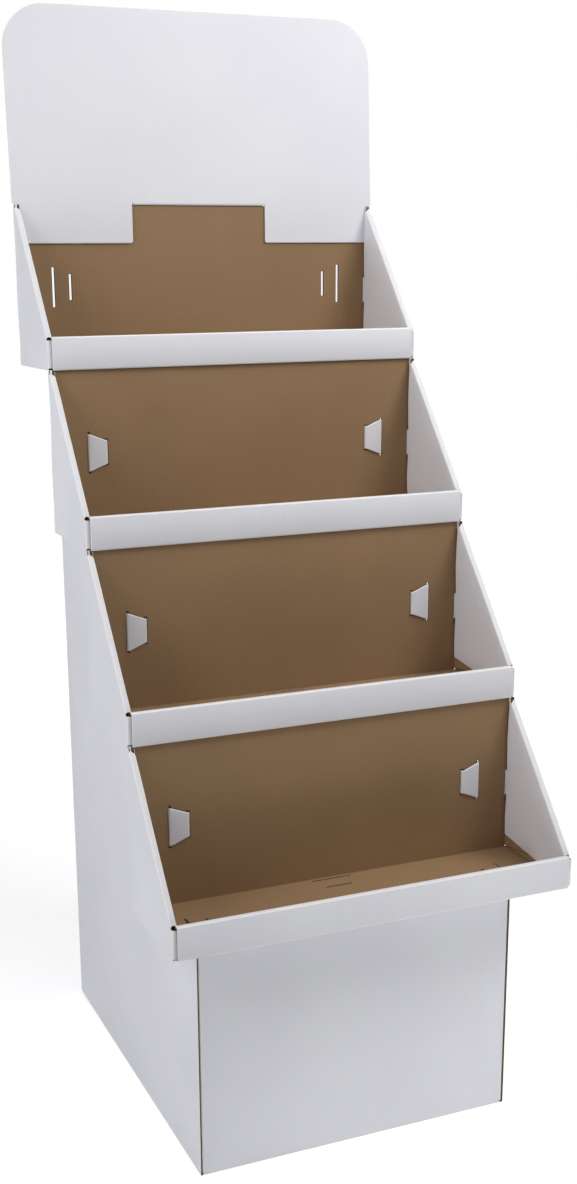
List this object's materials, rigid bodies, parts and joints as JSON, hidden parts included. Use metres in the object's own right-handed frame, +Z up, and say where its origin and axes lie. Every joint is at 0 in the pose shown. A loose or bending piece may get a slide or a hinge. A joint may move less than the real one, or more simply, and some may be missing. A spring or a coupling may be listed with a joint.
{
  "type": "cardboard display stand",
  "caption": "Free-standing tiered display stand of folded white corrugated board: open trays with sloping sides on a stepped body, and a raised header card.",
  "frame": {"origin": "on the floor, midway between the sides and midway between the lowest tray's lip and the header's rear edge", "axes": "+Z up, +X to the right as seen from the front, +Y to the rear; the open trays face -Y"},
  "size_m": [0.604, 0.6744, 1.6104],
  "materials": {
    "white_board": "white printed outside, matt, over corrugated board with kraft inside",
    "tray_board": "white outside, matt; natural brown kraft on the inner faces of floor and back wall"
  },
  "bodies": {
    "root": {"body_wrap": "white_board", "front_panel": "white_board", "header": "white_board", "tray_1": "tray_board", "tray_2": "tray_board", "tray_3": "tray_board", "tray_4": "tray_board"}
  },
  "joints": []
}
